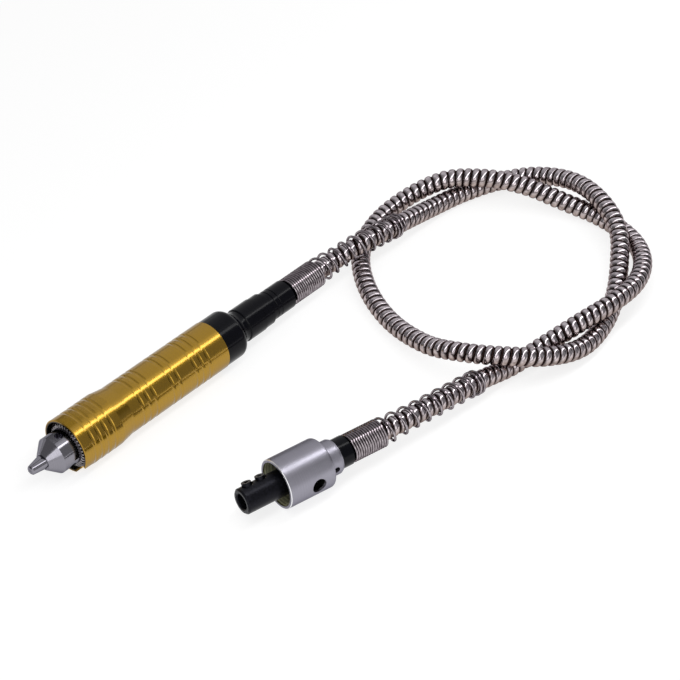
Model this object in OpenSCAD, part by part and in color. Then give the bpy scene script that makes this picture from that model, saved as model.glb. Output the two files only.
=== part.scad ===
// Rotary tool handpiece on a flexible drive shaft.
// A gold grip sleeve carries a keyed three-jaw chuck on two ball bearings. The sheathed drive
// core leaves the rear cap, lies in a loose loop and a half, and ends in the coupling that
// clamps on a motor shaft. X runs along the handpiece from the jaws to the rear, and Z is up.

/* [Grip sleeve] */
// Length of the gold sleeve
sleeve_len = 97.5; // [80:0.5:120]
// Diameter of the front part, which holds the chuck
sleeve_front_d = 28.7; // [28:0.1:34]
// Diameter behind the taper
sleeve_rear_d = 26.3; // [25.4:0.1:34]
// Length of the straight front part, from the rim to the taper
sleeve_front_len = 25; // [18:0.5:30]
// Length of the taper
sleeve_taper_len = 8; // [4:0.5:14]
// Where each set of ring grooves starts, as a share of the sleeve, and its count
groove_sets = [[0.069, 4], [0.41, 3], [0.617, 2], [0.777, 3]];
// Pitch of the ring grooves
groove_pitch = 4.35; // [3:0.05:5]
// Width of a ring groove, which is a round cove
groove_w = 2.2; // [1:0.1:2.6]
// Depth of a ring groove
groove_depth = 0.25; // [0.15:0.05:0.35]
// Width of the notch that clears the chuck key
notch_w = 9.6; // [7:0.1:11]
// Length of the notch, from the rim
notch_len = 7.5; // [6:0.1:9]
// Turn of the notch about the axis, from the top
notch_turn = 136; // [0:1:360]

/* [Chuck] */
// How far the closed jaws stand out of the nose
jaw_out = 8; // [5:0.1:9]
// Widest shank that the jaws open to
jaw_open_d = 4; // [2:0.1:4]
// Diameter of a jaw's rod
jaw_d = 5; // [4:0.1:5.4]
// Lean of a jaw from the chuck's axis, in degrees
jaw_lean = 11.5; // [11:0.5:12]
// Diameter of the closed jaws at their tip
jaw_tip_d = 4.5; // [3.4:0.1:4.6]
// Diameter of the nose's front face
nose_d = 9.4; // [8.8:0.1:11]
// Length of the nose's cone
nose_len = 6; // [4:0.1:8]
// Diameter of the body behind the cone
chuck_d = 19.2; // [18.4:0.1:19.6]
// Length from the nose's front face to the back of the body
chuck_len = 35; // [34.5:0.1:38]
// Diameter of the toothed ring
ring_d = 25.4; // [24:0.1:25.8]
// How far the ring's front lies behind the sleeve's rim
ring_recess = 0.7; // [0.5:0.1:3]
// Number of bevel teeth on the ring
ring_teeth = 36; // [18:1:40]
// Diameter of a key hole
key_hole_d = 4.4; // [3:0.1:4.6]

/* [Spindle and its bearings] */
// Diameter of the spindle
spindle_d = 8; // [7:0.1:9]
// Diameter of the spindle's nose, inside the chuck
spindle_nose_d = 6.4; // [5:0.1:7]
// Outer diameter of a handpiece bearing
bearing_od = 22; // [20:0.1:22.4]
// Width of a handpiece bearing
bearing_w = 7; // [6:0.1:8]
// Width across the square end of the drive core
core_square = 4; // [3:0.1:4.2]

/* [Black rear pieces] */
// Visible length of the rear cap, from the sleeve to the lock collar
cap_len = 19.4; // [17:0.1:24]
// Diameter of the cap's neck
neck_d = 16.8; // [15:0.1:18]
// Length of the lock collar
collar_len = 17.8; // [14:0.1:21]
// Diameter of the lock collar
collar_d = 18; // [16:0.1:19]
// Visible length of the handpiece ferrule
ferrule_len = 15.6; // [12:0.1:20]
// Diameter of the handpiece ferrule
ferrule_d = 15.5; // [14:0.1:16.4]

/* [Coupling] */
// Length of the coupling housing without its boss
housing_len = 26.2; // [23:0.1:32]
// Outer diameter of the coupling housing
housing_d = 25.4; // [24.4:0.1:30]
// Thickness of the cup's wall
cup_wall = 1.4; // [1:0.1:1.4]
// Depth of the cup
cup_depth = 20.6; // [17:0.1:20.8]
// Length of the rear boss
boss_len = 7; // [6:0.1:12]
// Diameter of the rear boss
boss_d = 17.8; // [17.4:0.1:20]
// Diameter of the lock hole in the cup's side
lock_hole_d = 7.6; // [5:0.1:8]
// How far the drive socket stands out of the cup
socket_out = 19.8; // [16:0.1:24]
// Outer diameter of the drive socket
socket_d = 13.2; // [12.6:0.1:14.4]
// Diameter of the motor shaft that the drive socket takes
motor_shaft_d = 8; // [6:0.1:8.4]
// Depth of the drive socket's bore
socket_bore_len = 20; // [16:0.5:24]
// Visible length of the coupling ferrule
end_ferrule_len = 7.2; // [6:0.1:12]
// Diameter of the coupling ferrule
end_ferrule_d = 15.2; // [14:0.1:16]

/* [Flexible shaft] */
// Diameter of the sheath over its ribs
sheath_d = 9.8; // [8:0.1:9.8]
// Bore of the sheath
sheath_bore_d = 6; // [5:0.1:6.4]
// Depth of the valley between two ribs
rib_depth = 0.7; // [0.4:0.1:0.9]
// Number of ribs along the sheath
rib_count = 125; // [80:1:140]
// Diameter of the drive core
core_d = 3.8; // [3:0.1:4.2]
// Wire of the two strain-relief springs
wire_d = 0.85; // [0.7:0.05:0.9]
// Clear radius between the sheath and a spring
spring_gap = 1.6; // [1.5:0.05:1.8]
// Pitch of the tight turns
tight_pitch = 1.35; // [1.3:0.05:1.6]

/* [Hidden] */

// Clearances
fit_gap = 0.05;        // radial, between parts that slide or turn in each other
press_gap = 0.02;      // radial, where a race sits in its seat
side_gap = 0.3;        // between flat faces of parts that move past each other
run_gap = 1;           // radial, round a part that spins free
ring_gap = 0.4;        // radial, between the toothed ring and the sleeve's rim
coil_gap = 0.85;       // radial, between a ferrule's spigot and the spring on it
cut = 1;               // how far a cutting shape passes the face it cuts

// Where the two ends of the sheath lie, and which way the coupling points
exit_at = [53.5, 50];
end_at = [-6.5, -48.5];
end_turn = -11.3;
handle_z = max(sleeve_front_d, sleeve_rear_d) / 2;
end_z = housing_d / 2;

// Stations along the handpiece, from the tip of the closed jaws
nose_at = jaw_out;
rim_recess = 14.6;
rim_at = nose_at + rim_recess;
sleeve_end = rim_at + sleeve_len;
ring_at = rim_at + ring_recess;
ring_lip = 1.4;
nut_at = ring_at + ring_lip + 0.1;
nut_len = 4.2;
ring_len = 13.7;
ring_end = ring_at + ring_len;
chuck_end = nose_at + chuck_len;
flange_len = 4;
cavity_end = chuck_end + flange_len + 2;
bulkhead = 2.2;
front_race_at = cavity_end + bulkhead;
cap_spigot_len = 17.8;
rear_race_at = sleeve_end - cap_spigot_len - bearing_w;
circlip_w = 0.8;
spindle_end = sleeve_end - 5;
cap_bore_end = spindle_end + 1.5;
cap_end = sleeve_end + cap_len;
collar_end = cap_end + collar_len;
ferrule_end = collar_end + ferrule_len;
spring_seat = 6;
sheath_at = ferrule_end + spring_seat;

// Radii of the handpiece
cavity_r = ring_d / 2 + ring_gap;
mouth_end = ring_end + 1.5;
seat_r = bearing_od / 2;
race_t = 1.8;
ball_r = 1.98;
groove_r = ball_r + 0.08;
ball_count = 7;
flange_r = 5.8;
stop_r = spindle_d / 2 + 0.9;
cap_r = sleeve_rear_d / 2 - 0.3;
nipple_r = 6;
nipple_len = 9.4;
duct_r = 3.4;

// Jaws: a rod's outer line starts at the tip's edge and leans out along the axis
jaw_r = jaw_d / 2;
jaw_foot = jaw_tip_d / 2 - jaw_r / cos(jaw_lean);
jaw_len = 31.4;
jaw_split = 0.12;
jaw_turns = [60, 180, 300];
jaw_travel = jaw_open_d / 2 / sin(jaw_lean);
key_hole_at = nose_at + 11.1;
key_hole_depth = 4;
function jaw_line(z) = jaw_tip_d / 2 + z * tan(jaw_lean);
ring_bore_r = chuck_d / 2 + 0.75;
cavity_back_r = ring_bore_r + run_gap;

// Stations along the coupling, from the front of the drive socket
cup_at = socket_out;
cup_floor = cup_at + cup_depth;
housing_end = cup_at + housing_len;
boss_end = housing_end + boss_len;
end_bearing_w = 4;
end_bearing_r = 8;
end_ball_r = 1.19;
end_race_t = 1.1;
end_race_at = cup_floor + 0.1;
journal_r = 4;
land_r = 5;
socket_back = cup_floor - 4.8;
journal_end = end_race_at + end_bearing_w + 1.6;
stop_len = 2.1;
end_bore_at = end_race_at + end_bearing_w + stop_len;
end_bore_r = 6;
end_ferrule_end = boss_end + end_ferrule_len;
end_sheath_at = end_ferrule_end + spring_seat;
lock_hole_at = cup_floor - 4.7;
screw_at = [5.4, 12.9];
screw_turn = -30;
screw_r = 2.5;
screw_out = 1.3;
end_screw_at = housing_end + 2.4;
end_screw_r = 1.7;

// Route of the flexible shaft: on each axis at the ends, and loosely laid between them
function on_handle_axis(z) = [exit_at[0] + z - sheath_at, exit_at[1], handle_z];
function on_end_axis(u) = [end_at[0] + (u - end_sheath_at) * cos(end_turn),
                           end_at[1] + (u - end_sheath_at) * sin(end_turn), end_z];
lead = 12.5;
loop_points = [[98, 46, 17.8], [124, 45, 15], [156, 47, 7.3], [177, 45, 5.1], [197, 37, 5.8],
               [211, 22, 9.5], [216, 1, 13.8], [211, -21, 15.6], [201, -40, 13.2],
               [185, -54, 9.6], [167, -66, 6.4], [147, -75, 5.1], [125, -79, 6.6], [104, -75, 12],
               [86, -63, 16.5], [74, -44, 15.4], [71, -23, 10], [76, 6, 5.5], [89, 34, 5.1],
               [109, 54, 5.1], [138, 62.5, 6.6], [168, 53, 14], [184, 37, 15.6], [197, 20, 12.2],
               [206, 0, 7.1], [211, -21, 5.1], [208, -43, 5.9], [195, -61, 9.6], [176, -72, 13.1],
               [154, -75, 15.6], [133, -72, 14.4], [112, -66, 9], [92, -61.5, 5.2],
               [71, -59, 8.2], [43, -56.6, 11.4]];
route = concat([for (i = [0:2]) on_handle_axis(sheath_at + i * lead)], loop_points,
               [for (i = [2:-1:0]) on_end_axis(end_sheath_at + i * lead)]);
spans = len(route) - 1;
span_len = [for (i = [0:spans - 1]) norm(route[i + 1] - route[i])];
span_from = [for (i = 0, s = 0; i <= spans; s = s + (i < spans ? span_len[i] : 0), i = i + 1) s];
route_len = span_from[spans];

// A point of the route at the run s, on a smooth curve through the points. It runs on
// straight before the first point and after the last.
function unit(v) = v / norm(v);
function heading(i) = unit(route[min(i + 1, spans)] - route[max(i - 1, 0)]);
function span_at(s, i = 0) = i >= spans - 1 || s < span_from[i + 1] ? i : span_at(s, i + 1);
function curve(i, t) = (2 * t^3 - 3 * t^2 + 1) * route[i] + (3 * t^2 - 2 * t^3) * route[i + 1]
    + span_len[i] * ((t^3 - 2 * t^2 + t) * heading(i) + (t^3 - t^2) * heading(i + 1));
function run(s) = s < 0 ? route[0] + s * heading(0)
    : s > route_len ? route[spans] + (s - route_len) * heading(spans)
    : let (i = span_at(s)) curve(i, (s - span_from[i]) / span_len[i]);

// Frame of the route: which way it goes, sideways, and up across it
function along(s) = unit(run(s + 0.5) - run(s - 0.5));
function sideways(s) = unit(cross(along(s), [0, 0, 1]));
function upways(s) = cross(sideways(s), along(s));
function about(s, r, a) = run(s) + r * (cos(a) * upways(s) + sin(a) * sideways(s));

// Faces that join rings of n points, each ring listed after the one before
function skin(rings, n) = [for (i = [0:rings - 2]) for (j = [0:n - 1])
    let (a = i * n + j, b = i * n + (j + 1) % n)
    each [[a, b + n, b], [a, a + n, b + n]]];
function cap(n, first, flip) = [for (j = [1:n - 2])
    flip ? [first, first + j, first + j + 1] : [first, first + j + 1, first + j]];

// Springs: tight turns on the ferrule, open turns along the sheath, two close turns at the end
spring_r = sheath_d / 2 + spring_gap + wire_d / 2;
spigot_r = spring_r - wire_d / 2 - coil_gap;
curl_rings = 7;
wire_sides = 5;
close_turns = 2;
close_pitch = 2.4;
spring_start = -spring_seat + wire_d / 2 + side_gap;
function spring_run(k, tight, open, pitch) = spring_start
    + min(k, tight) * tight_pitch
    + max(0, min(k - tight, open)) * pitch
    + max(0, k - tight - open) * close_pitch;
handle_turns = [14, 9, 5.9];
end_turns = [13, 10, 6.1];

module turned(profile) {
    rotate_extrude($fn = 96) polygon(profile);
}

module tube(r_out, r_in, from, to) {
    turned([[r_in, from], [r_out, from], [r_out, to], [r_in, to]]);
}

module bore(r, from, to) {
    translate([0, 0, from]) cylinder(r = r, h = to - from, $fn = 64);
}

// Places a piece drawn along Z on the handpiece's axis, with its X up
module on_handle() {
    translate(on_handle_axis(0)) rotate([0, 90, 0]) rotate([0, 0, 180]) children();
}

// Places a piece drawn along Z on the coupling's axis, with its X up
module on_end() {
    translate(on_end_axis(0)) rotate([0, 0, end_turn]) rotate([0, 90, 0])
        rotate([0, 0, 180]) children();
}

// A hole drilled towards the axis at a station, from the radius r_in to r_out
module radial_bore(r, at, turn, r_in, r_out) {
    rotate([0, 0, turn]) translate([r_in, 0, at]) rotate([0, 90, 0])
        cylinder(r = r, h = r_out - r_in, $fn = 48);
}

// ---- Grip sleeve ----

taper_end = sleeve_front_len + sleeve_taper_len;
function sleeve_r(z) = lookup(z, [[sleeve_front_len, sleeve_front_d / 2],
                                  [taper_end, sleeve_rear_d / 2]]);
rim_chamfer = 0.3;

module grip_sleeve() {
    front_r = sleeve_front_d / 2;
    rear_r = sleeve_rear_d / 2;
    outline = [[0, 0], [front_r - rim_chamfer, 0], [front_r, rim_chamfer],
               [front_r, sleeve_front_len], [rear_r, taper_end],
               [rear_r, sleeve_len - rim_chamfer], [rear_r - rim_chamfer, sleeve_len],
               [0, sleeve_len]];
    color("#B58A2E") on_handle() translate([0, 0, rim_at]) difference() {
        turned(outline);
        bore(cavity_r, -cut, mouth_end - rim_at);
        bore(cavity_back_r, 0, cavity_end - rim_at);
        bore(flange_r + run_gap, 0, front_race_at - rim_at + cut);
        bore(seat_r, front_race_at - rim_at, sleeve_len + cut);
        for (set = groove_sets) for (i = [0:set[1] - 1])
            ring_groove(set[0] * sleeve_len + i * groove_pitch);
        key_notch();
    }
}

// One turned cove, cut at z along the sleeve by a ring of round section
cove_r = (groove_w * groove_w / 4 + groove_depth * groove_depth) / (2 * groove_depth);
module ring_groove(z) {
    rotate_extrude($fn = 96) translate([sleeve_r(z) - groove_depth + cove_r, z])
        circle(r = cove_r, $fn = 48);
}

// The round-ended notch in the rim that the chuck key passes through
module key_notch() {
    reach = sleeve_front_d / 2 + cut;
    rotate([0, 0, notch_turn]) {
        translate([cavity_r / 2, -notch_w / 2, -cut])
            cube([reach - cavity_r / 2, notch_w, notch_len - notch_w / 2 + cut]);
        radial_bore(notch_w / 2, notch_len - notch_w / 2, 0, cavity_r / 2, reach);
    }
}

// ---- Bearings ----

// A race between two radii, with the groove that the balls run in
module race(r_in, r_out, at, w, pitch_r, track_r) {
    difference() {
        tube(r_out, r_in, at, at + w);
        translate([0, 0, at + w / 2]) rotate_extrude($fn = 96)
            translate([pitch_r, 0]) circle(r = track_r, $fn = 32);
    }
}

module balls(pitch_r, r, at, count) {
    for (i = [0:count - 1]) rotate([0, 0, (i + 0.5) * 360 / count])
        translate([pitch_r, 0, at]) sphere(r = r, $fn = 24);
}

// The cage that keeps the balls apart: a ring with a round pocket for each
module cage(pitch_r, r, at, count) {
    difference() {
        tube(pitch_r + r * 0.3, pitch_r - r * 0.3, at - r * 1.25, at + r * 1.25);
        for (i = [0:count - 1])
            radial_bore(r + 0.06, at, (i + 0.5) * 360 / count, pitch_r - r, pitch_r + r);
    }
}

pitch_r = (seat_r + spindle_d / 2) / 2;
race_mid = bearing_w / 2;
module outer_race(at) {
    color("#8C8A90") on_handle()
        race(seat_r - race_t, seat_r - press_gap, at, bearing_w, pitch_r, groove_r);
}
module inner_race(at) {
    color("#8C8A90") on_handle()
        race(spindle_d / 2 + press_gap, spindle_d / 2 + race_t, at, bearing_w, pitch_r, groove_r);
}
module front_outer_race() { outer_race(front_race_at); }
module front_inner_race() { inner_race(front_race_at); }
module rear_outer_race() { outer_race(rear_race_at); }
module rear_inner_race() { inner_race(rear_race_at); }
module front_balls() {
    color("#B9B8BD") on_handle() balls(pitch_r, ball_r, front_race_at + race_mid, ball_count);
}
module rear_balls() {
    color("#B9B8BD") on_handle() balls(pitch_r, ball_r, rear_race_at + race_mid, ball_count);
}
module front_cage() {
    color("#C9A24A") on_handle() cage(pitch_r, ball_r, front_race_at + race_mid, ball_count);
}
module rear_cage() {
    color("#C9A24A") on_handle() cage(pitch_r, ball_r, rear_race_at + race_mid, ball_count);
}

// Spacer between the outer races, which the rear cap clamps
module outer_spacer() {
    color("#A9A8AE") on_handle()
        tube(seat_r - fit_gap, seat_r - race_t, front_race_at + bearing_w, rear_race_at);
}

// Spacer between the inner races
module inner_spacer() {
    color("#A9A8AE") on_handle() tube(spindle_d / 2 + race_t, spindle_d / 2 + fit_gap,
        front_race_at + bearing_w, rear_race_at);
}

// ---- Spindle ----

socket_len = 12;
module spindle() {
    nose_r = spindle_nose_d / 2 - press_gap;
    circlip_at = rear_race_at + bearing_w;
    color("#8C8A90") on_handle() difference() {
        turned([[0, chuck_end - 10.6], [nose_r - 0.5, chuck_end - 10.6],
                [nose_r, chuck_end - 10.1], [nose_r, chuck_end], [flange_r, chuck_end],
                [flange_r, chuck_end + flange_len], [stop_r, chuck_end + flange_len],
                [stop_r, front_race_at], [spindle_d / 2, front_race_at],
                [spindle_d / 2, spindle_end - 0.5], [spindle_d / 2 - 0.5, spindle_end],
                [0, spindle_end]]);
        difference() {
            bore(spindle_d, circlip_at, circlip_at + circlip_w);
            bore(spindle_d / 2 - 0.4, circlip_at - cut, circlip_at + circlip_w + cut);
        }
        translate([0, 0, spindle_end - socket_len / 2 + cut / 2])
            cube([core_square + 0.2, core_square + 0.2, socket_len + cut], center = true);
    }
}

// A spring clip in a groove, with its open gap
module circlip(r_in, r_out, at, w) {
    difference() {
        tube(r_out, r_in, at, at + w);
        translate([0, -r_in * 0.45, at - cut]) cube([r_out + cut, r_in * 0.9, w + 2 * cut]);
    }
}
module spindle_circlip() {
    color("#5A5A60") on_handle() circlip(spindle_d / 2 - 0.35, spindle_d / 2 + 1.2,
        rear_race_at + bearing_w + 0.05, circlip_w - 0.1);
}

// The core's square end, held in the spindle, and the collar swaged on the core behind it
module core_key() {
    tip_at = spindle_end - socket_len + 1.6;
    color("#8C8A90") on_handle() {
        translate([-core_square / 2, -core_square / 2, tip_at])
            cube([core_square, core_square, spindle_end + 0.6 - tip_at]);
        bore(core_d / 2 + 0.6, spindle_end + 0.6, spindle_end + 5.2);
    }
}

// ---- Chuck ----

module chuck_body() {
    r = chuck_d / 2;
    waist_r = jaw_line(nut_at) - 0.45;
    back_r = ring_bore_r - fit_gap;
    color("#86848C") on_handle() difference() {
        turned([[0, nose_at], [nose_d / 2 - 0.3, nose_at], [nose_d / 2, nose_at + 0.3],
                [r, nose_at + nose_len], [r, nut_at - 0.1], [waist_r, nut_at - 0.1],
                [waist_r, nut_at + nut_len + 0.1], [back_r, nut_at + nut_len + 0.1],
                [back_r, chuck_end - 1.2], [back_r - 1.2, chuck_end], [0, chuck_end]]);
        bore(jaw_tip_d / 2 + 0.45, 0, chuck_end - 10.8);
        bore(spindle_nose_d / 2, chuck_end - 11, chuck_end + cut);
        for (turn = jaw_turns) rotate([0, 0, turn])
            jaw_rod(jaw_r + fit_gap, -3, jaw_len + jaw_travel + 0.6);
        for (turn = jaw_turns)
            radial_bore(key_hole_d / 2, key_hole_at, turn - 60, r - key_hole_depth, r + cut);
    }
}

// A leaning rod on the line of a jaw, from and to along its own axis
module jaw_rod(r, from, to) {
    translate([jaw_foot, 0, 0]) rotate([0, jaw_lean, 0]) bore(r, from, to);
}

// A jaw: a leaning rod, ground to a sixth-turn wedge each side and squared at the tip
module jaw(turn) {
    reach = 2 * jaw_len;
    color("#7C7A82") on_handle() rotate([0, 0, turn]) intersection() {
        jaw_rod(jaw_r, -3, jaw_len);
        linear_extrude(height = reach)
            polygon([[jaw_split, 0], [reach, -(reach - jaw_split) * tan(60)],
                     [reach, (reach - jaw_split) * tan(60)]]);
        turned([[0, 0], [jaw_tip_d / 2 - 0.45, 0], [jaw_tip_d / 2 + 0.1, 0.55],
                [chuck_d, chuck_d], [chuck_d, reach], [0, reach]]);
    }
}
module jaw_1() { jaw(jaw_turns[0]); }
module jaw_2() { jaw(jaw_turns[1]); }
module jaw_3() { jaw(jaw_turns[2]); }

// The nut that drives the jaws: its bore is a cone along their backs, and it is in two halves
module chuck_nut() {
    color("#6E6C74") on_handle() difference() {
        turned([[jaw_line(nut_at) + fit_gap * 4, nut_at], [ring_bore_r - press_gap, nut_at],
                [ring_bore_r - press_gap, nut_at + nut_len],
                [jaw_line(nut_at + nut_len) + fit_gap * 4, nut_at + nut_len]]);
        translate([-ring_d / 2, -0.15, nut_at - cut]) cube([ring_d, 0.3, nut_len + 2 * cut]);
    }
}

// The ring that the chuck key turns, with bevel teeth round its front
bevel = 1.9;
tooth_depth = 0.8;
module chuck_ring() {
    r = ring_d / 2;
    color("#7C7A82") on_handle() difference() {
        turned([[chuck_d / 2 + fit_gap, ring_at], [r - bevel, ring_at], [r, ring_at + bevel],
                [r, ring_end - 0.5], [r - 0.5, ring_end],
                [ring_bore_r, ring_end], [ring_bore_r, ring_at + ring_lip],
                [chuck_d / 2 + fit_gap, ring_at + ring_lip]]);
        for (i = [0:ring_teeth - 1]) rotate([0, 0, i * 360 / ring_teeth]) tooth_gap();
    }
}

// The gap between two bevel teeth: a V that follows the bevel
module tooth_gap() {
    w = 0.62 * PI * ring_d / ring_teeth;
    translate([ring_d / 2 - bevel / 2, 0, ring_at + bevel / 2]) rotate([0, -45, 0])
        translate([-bevel, 0, 0]) rotate([90, 0, 90]) linear_extrude(height = 3 * bevel)
            polygon([[-w / 2 - 0.2, -0.4], [w / 2 + 0.2, -0.4], [w / 8, tooth_depth],
                     [-w / 8, tooth_depth]]);
}

// ---- Black rear pieces ----

function arc(r, z, radius, from, to, steps) = [for (i = [0:steps])
    let (a = from + (to - from) * i / steps) [r + radius * cos(a), z + radius * sin(a)]];
shoulder_r = 4;
sweep_r = 6;
neck_len = 0.6;

// Rear cap: screws into the sleeve. Its shoulder rounds over and sweeps in to a neck.
module rear_cap() {
    neck_r = neck_d / 2;
    both_r = shoulder_r + sweep_r;
    steep = acos((both_r - cap_r + neck_r) / both_r);
    sweep_at = cap_end - neck_len;
    shoulder_at = sweep_at - both_r * sin(steep);
    spigot = seat_r - fit_gap;
    color("#1E1E24") on_handle() difference() {
        turned(concat([[0, sleeve_end - cap_spigot_len], [spigot, sleeve_end - cap_spigot_len],
                       [spigot, sleeve_end], [cap_r, sleeve_end]],
                      arc(cap_r - shoulder_r, shoulder_at, shoulder_r, 0, steep, 6),
                      arc(neck_r + sweep_r, sweep_at, sweep_r, 180 + steep, 180, 8),
                      [[neck_r, cap_end], [nipple_r, cap_end],
                       [nipple_r, cap_end + nipple_len], [0, cap_end + nipple_len]]));
        bore(seat_r - race_t - 0.2, sleeve_end - cap_spigot_len - cut, cap_bore_end);
        bore(duct_r, cap_bore_end - cut, cap_end + nipple_len + cut);
    }
}

// Lock collar: holds the ferrule on the cap's nipple. Its rear band is a little slimmer.
band_step = 0.35;
band_at = collar_end - 6.6;
module lock_collar() {
    r = collar_d / 2;
    color("#1A1A1F") on_handle() difference() {
        turned([[0, cap_end], [r - 0.5, cap_end], [r, cap_end + 0.5], [r, band_at],
                [r - band_step, band_at + band_step], [r - band_step, collar_end - 0.5],
                [r - band_step - 0.5, collar_end], [0, collar_end]]);
        bore(nipple_r + fit_gap, cap_end - cut, collar_end + cut);
    }
}

// Ferrule on the handpiece: its front plugs into the collar, and the spring sits on its rear.
// Two fine lines are turned round it.
line_at = [collar_end + 3, collar_end + 5.8];
module handle_ferrule() {
    r = ferrule_d / 2;
    color("#17171B") on_handle() difference() {
        turned([[0, cap_end + nipple_len], [nipple_r, cap_end + nipple_len],
                [nipple_r, collar_end], [r, collar_end],
                each [for (at = line_at) each [[r, at - 0.3], [r - 0.3, at], [r, at + 0.3]]],
                [r, ferrule_end - 0.6],
                [r - 0.6, ferrule_end], [spigot_r, ferrule_end], [spigot_r, sheath_at],
                [0, sheath_at]]);
        bore(duct_r, cap_end, sheath_at + cut);
    }
}

// ---- Flexible shaft ----

// The ribbed sheath: a crest and a valley for each rib outside, and a plain bore inside
sheath_sides = 8;
bore_rings = 90;
module sheath() {
    n = sheath_sides;
    outer_rings = 2 * rib_count + 1;
    outer = [for (i = [0:outer_rings - 1]) for (j = [0:n - 1])
        about(route_len * i / (outer_rings - 1), sheath_d / 2 - rib_depth * (i % 2),
              (j + 0.5) * 360 / n)];
    inner = [for (i = [0:bore_rings - 1]) for (j = [0:n - 1])
        about(route_len * i / (bore_rings - 1), sheath_bore_d / 2, (j + 0.5) * 360 / n)];
    shift = outer_rings * n;
    far = (outer_rings - 1) * n;
    far_in = shift + (bore_rings - 1) * n;
    end_faces = [for (j = [0:n - 1]) let (k = (j + 1) % n)
        each [[j, shift + k, shift + j], [j, k, shift + k],
              [far + j, far_in + j, far_in + k], [far + j, far_in + k, far + k]]];
    color("#A89E9C") polyhedron(concat(outer, inner), concat(skin(outer_rings, n),
        [for (f = skin(bore_rings, n)) [f[0] + shift, f[2] + shift, f[1] + shift]], end_faces));
}

// A round rod swept along the route between two runs
module rod_on_route(r, from, to, rings, n) {
    points = [for (i = [0:rings - 1]) for (j = [0:n - 1])
        about(from + (to - from) * i / (rings - 1), r, (j + 0.5) * 360 / n)];
    polyhedron(points, concat(skin(rings, n), cap(n, 0, true), cap(n, (rings - 1) * n, false)));
}

core_rings = 84;
core_start = spindle_end + 5.2 + side_gap - sheath_at;
core_end = route_len + end_sheath_at - journal_end - side_gap;
module drive_core() {
    color("#77757C") rod_on_route(core_d / 2, core_start, core_end, core_rings, 8);
}

// A spring round the route: one wire, wound right-handed from a ferrule along the sheath. The
// coupling's spring starts at the far end of the route, so back is true for it.
function wire_point(q, turns, back) = let (k = q / curl_rings,
    s = spring_run(k, turns[0], turns[1], turns[2]))
    back ? about(route_len - s, spring_r, -k * 360) : about(s, spring_r, k * 360);
function turn_count(turns) = turns[0] + turns[1] + close_turns;
module spring(turns, back) {
    rings = turn_count(turns) * curl_rings + 1;
    n = wire_sides;
    points = [for (q = [0:rings - 1])
        let (p = wire_point(q, turns, back),
             d = unit(wire_point(q + 0.5, turns, back) - wire_point(q - 0.5, turns, back)),
             s = spring_run(q / curl_rings, turns[0], turns[1], turns[2]),
             out = unit(p - run(back ? route_len - s : s)),
             side = unit(cross(d, out)), up = cross(side, d))
        for (j = [0:n - 1]) let (a = j * 360 / n)
            p + wire_d / 2 * (cos(a) * up + sin(a) * side)];
    faces = concat(skin(rings, n), cap(n, 0, true), cap(n, (rings - 1) * n, false));
    color("#B0A6A4") polyhedron(points, faces);
}
module handle_spring() { spring(handle_turns, false); }
module coupling_spring() { spring(end_turns, true); }

// Least gap between neighbouring turns of each spring, measured on its wire's points
function wire_gap(turns, back) = let (
    rings = turn_count(turns) * curl_rings + 1,
    p = [for (q = [0:rings - 1]) wire_point(q, turns, back)])
    min([for (q = [0:rings - 1 - curl_rings / 2])
        for (o = [floor(curl_rings / 2) + 1:min(curl_rings + 2, rings - 1 - q)])
            norm(p[q + o] - p[q])]) - wire_d;
echo(handle_spring_gap = wire_gap(handle_turns, false));
echo(coupling_spring_gap = wire_gap(end_turns, true));
echo(sheath_length = route_len);

// ---- Coupling ----

module coupling_ferrule() {
    r = end_ferrule_d / 2;
    color("#17171B") on_end() difference() {
        turned([[0, end_bore_at], [end_bore_r - fit_gap, end_bore_at],
                [end_bore_r - fit_gap, boss_end], [r, boss_end], [r, end_ferrule_end - 0.6],
                [r - 0.6, end_ferrule_end], [spigot_r, end_ferrule_end],
                [spigot_r, end_sheath_at], [0, end_sheath_at]]);
        bore(duct_r, end_bore_at - cut, end_sheath_at + cut);
    }
}

// Housing: an open cup for the motor's nose, a bearing seat in its floor, and a rear boss
rear_round = 1.8;
boss_chamfer = 1.2;
module coupling_housing() {
    r = housing_d / 2;
    color("#A8A6B4") on_end() difference() {
        turned(concat([[0, cup_at], [r - 0.3, cup_at], [r, cup_at + 0.3]],
                      arc(r - rear_round, housing_end - rear_round, rear_round, 0, 90, 6),
                      [[boss_d / 2, housing_end], [boss_d / 2, boss_end - boss_chamfer]],
                      [[boss_d / 2 - boss_chamfer * 0.5, boss_end], [0, boss_end]]));
        bore(r - cup_wall, cup_at - cut, cup_floor);
        bore(end_bearing_r, cup_floor - cut, end_race_at + end_bearing_w);
        bore(land_r + 0.6, cup_floor, end_bore_at);
        bore(end_bore_r, end_bore_at, boss_end + cut);
        radial_bore(lock_hole_d / 2, lock_hole_at, 90, land_r, r + cut);
        radial_bore(end_screw_r, end_screw_at, 90, 0, r);
    }
}

// A headless screw with a hexagon socket, seated from r_in to r_out along a radius
module grub_screw(r, at, turn, r_in, r_out, key_w) {
    rotate([0, 0, turn]) translate([r_in, 0, at]) rotate([0, 90, 0]) difference() {
        cylinder(r = r - press_gap, h = r_out - r_in, $fn = 48);
        translate([0, 0, (r_out - r_in) * 0.45])
            cylinder(r = key_w / sqrt(3), h = r_out, $fn = 6);
    }
}

module ferrule_screw() {
    color("#26262A") on_end() grub_screw(end_screw_r, end_screw_at, 90, end_bore_r + 0.1,
        boss_d / 2 - 0.9, 1.5);
}

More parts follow.
